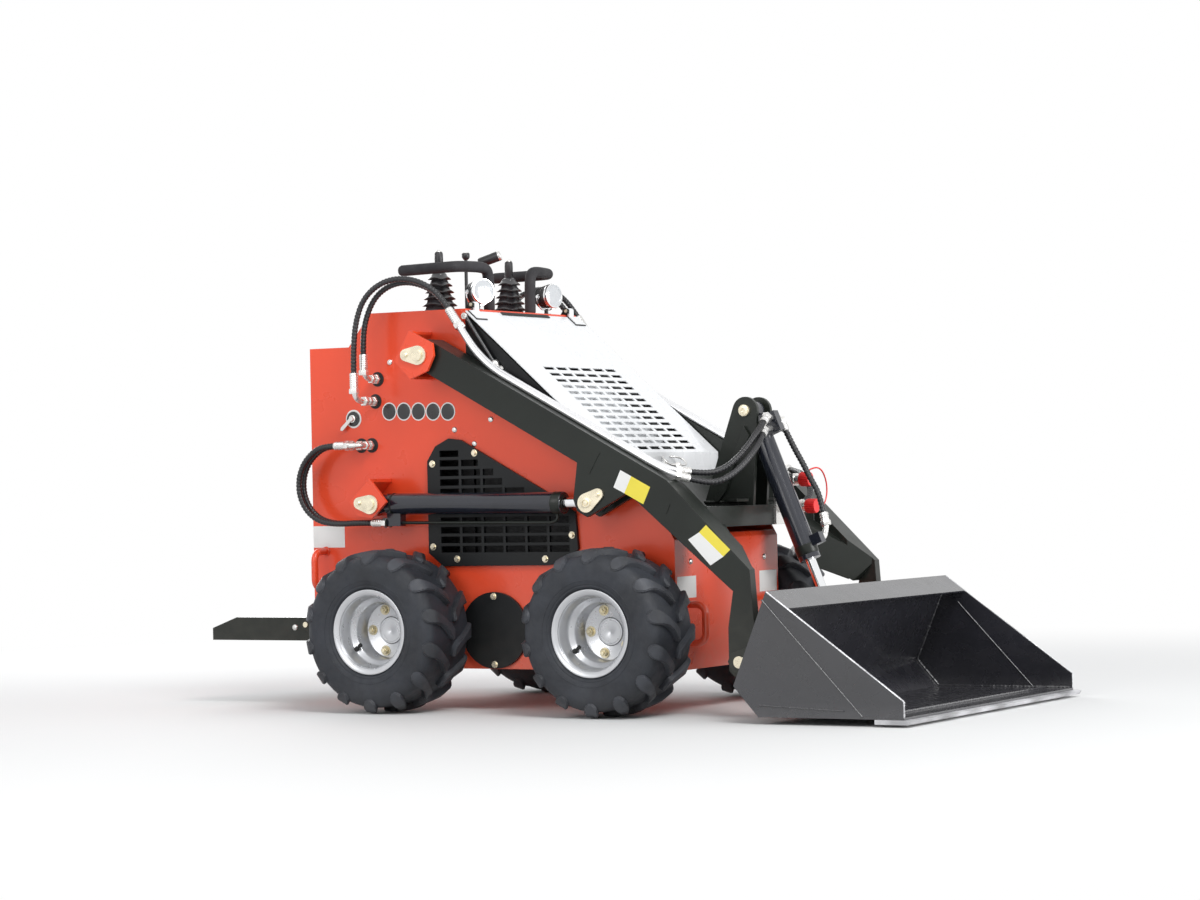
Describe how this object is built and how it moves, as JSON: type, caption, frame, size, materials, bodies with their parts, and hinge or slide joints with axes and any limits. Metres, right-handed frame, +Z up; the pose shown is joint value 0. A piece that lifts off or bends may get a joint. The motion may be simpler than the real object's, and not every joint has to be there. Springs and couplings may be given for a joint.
{
  "type": "stand-on skid steer loader",
  "caption": "Compact four-wheeled skid steer loader with a bucket on bent lift arms, a slotted tilting hood and a fold-up operator's platform at the back.",
  "frame": {"origin": "bottom centre of the whole loader's bounding box, on the ground between the tyres", "axes": "+X forwards towards the bucket, +Y to the operator's left, +Z up"},
  "size_m": [2.389, 1.154, 1.3158],
  "materials": {
    "black_paint": "satin enamel",
    "bucket_paint": "satin enamel, worn at the edges",
    "cap_plastic": "moulded",
    "chrome": "polished",
    "iron": "painted casting",
    "plastic": "textured",
    "red_paint": "gloss enamel",
    "rubber": "matt",
    "silver_paint": "silver enamel",
    "steel": "machined",
    "tyre": "moulded tread",
    "white_paint": "gloss enamel",
    "zinc": "yellow zinc plate"
  },
  "bodies": {
    "frame_body": {"arm_bracket_L": "red_paint", "arm_bracket_R": "red_paint", "arm_hoses_L": "rubber", "arm_hoses_R": "rubber", "chassis": "red_paint", "control_levers": "plastic", "cylinder_bracket_L": "red_paint", "cylinder_bracket_R": "red_paint", "cylinder_hoses_L": "rubber", "cylinder_hoses_R": "rubber", "engine_block": "iron", "frame_pins": "zinc", "front_shield": "black_paint", "hand_bars": "rubber", "hood_hinges": "black_paint", "lever_boots": "rubber", "platform_hangers": "red_paint", "platform_pins": "zinc", "side_covers": "black_paint", "side_elbows": "zinc", "side_panels": "black_paint", "tie_loops": "red_paint", "wheel_motors": "black_paint", "work_lamps": "plastic"},
    "hood_body": {"hood": "white_paint"},
    "platform_body": {"platform": "black_paint"},
    "arm_body": {"arm_R": "black_paint", "arm_L": "black_paint", "cross_tube": "black_paint", "tower_ears": "black_paint", "arm_pins": "zinc", "arm_pipes_R": "steel", "arm_pipes_L": "steel", "quick_couplers": "steel", "coupler_caps": "cap_plastic", "coupler_hoses": "rubber", "tilt_hoses": "rubber"},
    "bucket_body": {"bucket": "bucket_paint", "cutting_edge": "bucket_paint", "hitch": "black_paint", "hitch_pins": "zinc"},
    "lift_barrel_R_body": {"lift_barrel_R": "black_paint", "cylinder_lines_R": "steel"},
    "lift_barrel_L_body": {"lift_barrel_L": "black_paint", "cylinder_lines_L": "steel"},
    "lift_rod_R_body": {"lift_rod_R": "chrome"},
    "lift_rod_L_body": {"lift_rod_L": "chrome"},
    "tilt_barrel_body": {"tilt_barrel": "black_paint", "tilt_elbows": "zinc", "gland_hose": "rubber"},
    "tilt_rod_body": {"tilt_rod": "chrome"},
    "wheel_FR_body": {"rim_FR": "silver_paint", "tyre_FR": "tyre"},
    "wheel_FL_body": {"rim_FL": "silver_paint", "tyre_FL": "tyre"},
    "wheel_RR_body": {"rim_RR": "silver_paint", "tyre_RR": "tyre"},
    "wheel_RL_body": {"rim_RL": "silver_paint", "tyre_RL": "tyre"}
  },
  "joints": [
    {"name": "wheel_spin_FR", "type": "hinge", "parent": "frame_body", "child": "wheel_FR_body", "pos_m": [0.2415, -0.433, 0.2286], "axis": [0, 1, 0], "continuous": true},
    {"name": "wheel_spin_FL", "type": "hinge", "parent": "frame_body", "child": "wheel_FL_body", "pos_m": [0.2415, 0.433, 0.2286], "axis": [0, 1, 0], "continuous": true},
    {"name": "wheel_spin_RR", "type": "hinge", "parent": "frame_body", "child": "wheel_RR_body", "pos_m": [-0.4685, -0.433, 0.2286], "axis": [0, 1, 0], "continuous": true},
    {"name": "wheel_spin_RL", "type": "hinge", "parent": "frame_body", "child": "wheel_RL_body", "pos_m": [-0.4685, 0.433, 0.2286], "axis": [0, 1, 0], "continuous": true},
    {"name": "arm_lift", "type": "hinge", "parent": "frame_body", "child": "arm_body", "pos_m": [-0.3575, 0, 0.996], "axis": [0, -1, 0], "range_deg": [0, 70], "deforming": ["arm_hoses_R", "arm_hoses_L"]},
    {"name": "bucket_tilt", "type": "hinge", "parent": "arm_body", "child": "bucket_body", "pos_m": [0.6315, 0, 0.15], "axis": [0, 1, 0], "range_deg": [-18, 95]},
    {"name": "hood_open", "type": "hinge", "parent": "frame_body", "child": "hood_body", "pos_m": [-0.2685, 0, 1.139], "axis": [0, -1, 0], "range_deg": [0, 45]},
    {"name": "platform_fold", "type": "hinge", "parent": "frame_body", "child": "platform_body", "pos_m": [-0.8485, 0, 0.236], "axis": [0, 1, 0], "range_deg": [0, 85]},
    {"name": "lift_barrel_swing_R", "type": "hinge", "parent": "frame_body", "child": "lift_barrel_R_body", "pos_m": [-0.5285, -0.361, 0.582], "axis": [0, -1, 0], "range_deg": [0, 47.3], "deforming": ["cylinder_hoses_R"]},
    {"name": "lift_rod_slide_R", "type": "slide", "parent": "lift_barrel_R_body", "child": "lift_rod_R_body", "axis": [1, 0, -0.0086], "range_m": [0, 0.402]},
    {"name": "lift_barrel_swing_L", "type": "hinge", "parent": "frame_body", "child": "lift_barrel_L_body", "pos_m": [-0.5285, 0.361, 0.582], "axis": [0, -1, 0], "range_deg": [0, 47.3], "deforming": ["cylinder_hoses_L"]},
    {"name": "lift_rod_slide_L", "type": "slide", "parent": "lift_barrel_L_body", "child": "lift_rod_L_body", "axis": [1, 0, -0.0086], "range_m": [0, 0.402]},
    {"name": "tilt_barrel_swing", "type": "hinge", "parent": "arm_body", "child": "tilt_barrel_body", "pos_m": [0.4695, 0, 0.821], "axis": [0, -1, 0], "range_deg": [-0.6, 1.8], "deforming": ["tilt_hoses"]},
    {"name": "tilt_rod_slide", "type": "slide", "parent": "tilt_barrel_body", "child": "tilt_rod_body", "axis": [0.3794, 0, -0.9252], "range_m": [-0.042, 0.208]}
  ],
  "couplings": [
    {"joint": "lift_barrel_swing_R", "follows": "arm_lift", "ratio": 0.6685},
    {"joint": "lift_rod_slide_R", "follows": "arm_lift", "m_per_rad": 0.326},
    {"joint": "lift_barrel_swing_L", "follows": "arm_lift", "ratio": 0.6685},
    {"joint": "lift_rod_slide_L", "follows": "arm_lift", "m_per_rad": 0.326},
    {"joint": "tilt_barrel_swing", "follows": "bucket_tilt", "ratio": 0.0155},
    {"joint": "tilt_rod_slide", "follows": "bucket_tilt", "m_per_rad": 0.1239}
  ]
}
